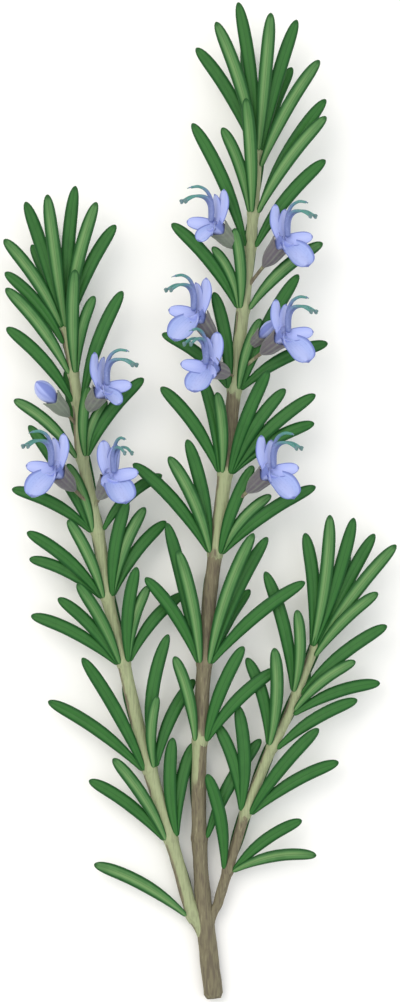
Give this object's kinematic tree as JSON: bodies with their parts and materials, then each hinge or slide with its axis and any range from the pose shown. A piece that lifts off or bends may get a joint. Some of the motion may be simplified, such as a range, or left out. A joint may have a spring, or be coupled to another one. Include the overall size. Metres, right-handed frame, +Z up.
{
  "type": "cut rosemary sprig",
  "caption": "Cut rosemary sprig with two side shoots, whorls of narrow leaves and pale blue two-lipped flowers, lying flat on its back.",
  "frame": {"origin": "on the surface that the sprig lies on, under the middle of its box", "axes": "+Y towards the tip of the main stem, +X to its right seen from above, +Z up from the surface"},
  "size_m": [0.0988, 0.2496, 0.0281],
  "materials": {
    "woody_stem": "grey-brown bark with fine lengthwise fissures",
    "young_stem": "olive young bark, downy, browner on one side",
    "leaf": "leathery leaf, satin dark green above with a paler midrib, pale felt below",
    "calyx": "downy grey-purple, ribbed",
    "petal": "matt translucent lavender blue, darker veins and edges",
    "stamen": "slate violet, blue-green towards the tip"
  },
  "bodies": {
    "root": {"main_stem": "woody_stem", "left_side_shoot": "young_stem", "right_side_shoot": "young_stem", "flower_1_calyx": "calyx", "flower_1_corolla": "petal", "flower_1_stamens": "stamen", "flower_2_calyx": "calyx", "flower_2_corolla": "petal", "flower_2_stamens": "stamen", "flower_3_calyx": "calyx", "flower_3_corolla": "petal", "flower_3_stamens": "stamen", "flower_4_calyx": "calyx", "flower_4_corolla": "petal", "flower_4_stamens": "stamen", "flower_5_calyx": "calyx", "flower_5_corolla": "petal", "flower_5_stamens": "stamen", "flower_6_calyx": "calyx", "flower_6_corolla": "petal", "flower_6_stamens": "stamen", "flower_7_calyx": "calyx", "flower_7_corolla": "petal", "flower_7_stamens": "stamen", "flower_8_calyx": "calyx", "flower_8_corolla": "petal", "flower_8_stamens": "stamen", "flower_9_calyx": "calyx", "flower_9_corolla": "petal", "flower_9_stamens": "stamen", "bud_1_calyx": "calyx", "bud_1_petals": "petal", "bud_2_calyx": "calyx", "bud_2_petals": "petal", "main_whorl_1": "leaf", "main_whorl_2": "leaf", "main_whorl_3": "leaf", "main_whorl_4": "leaf", "main_whorl_5": "leaf", "main_whorl_6": "leaf", "main_whorl_7": "leaf", "main_whorl_8": "leaf", "main_whorl_9": "leaf", "main_whorl_10": "leaf", "left_whorl_1": "leaf", "left_whorl_2": "leaf", "left_whorl_3": "leaf", "left_whorl_4": "leaf", "left_whorl_5": "leaf", "left_whorl_6": "leaf", "left_whorl_7": "leaf", "left_whorl_8": "leaf", "left_whorl_9": "leaf", "left_whorl_10": "leaf", "right_whorl_1": "leaf", "right_whorl_2": "leaf", "right_whorl_3": "leaf", "right_whorl_4": "leaf", "right_whorl_5": "leaf"}
  },
  "joints": []
}
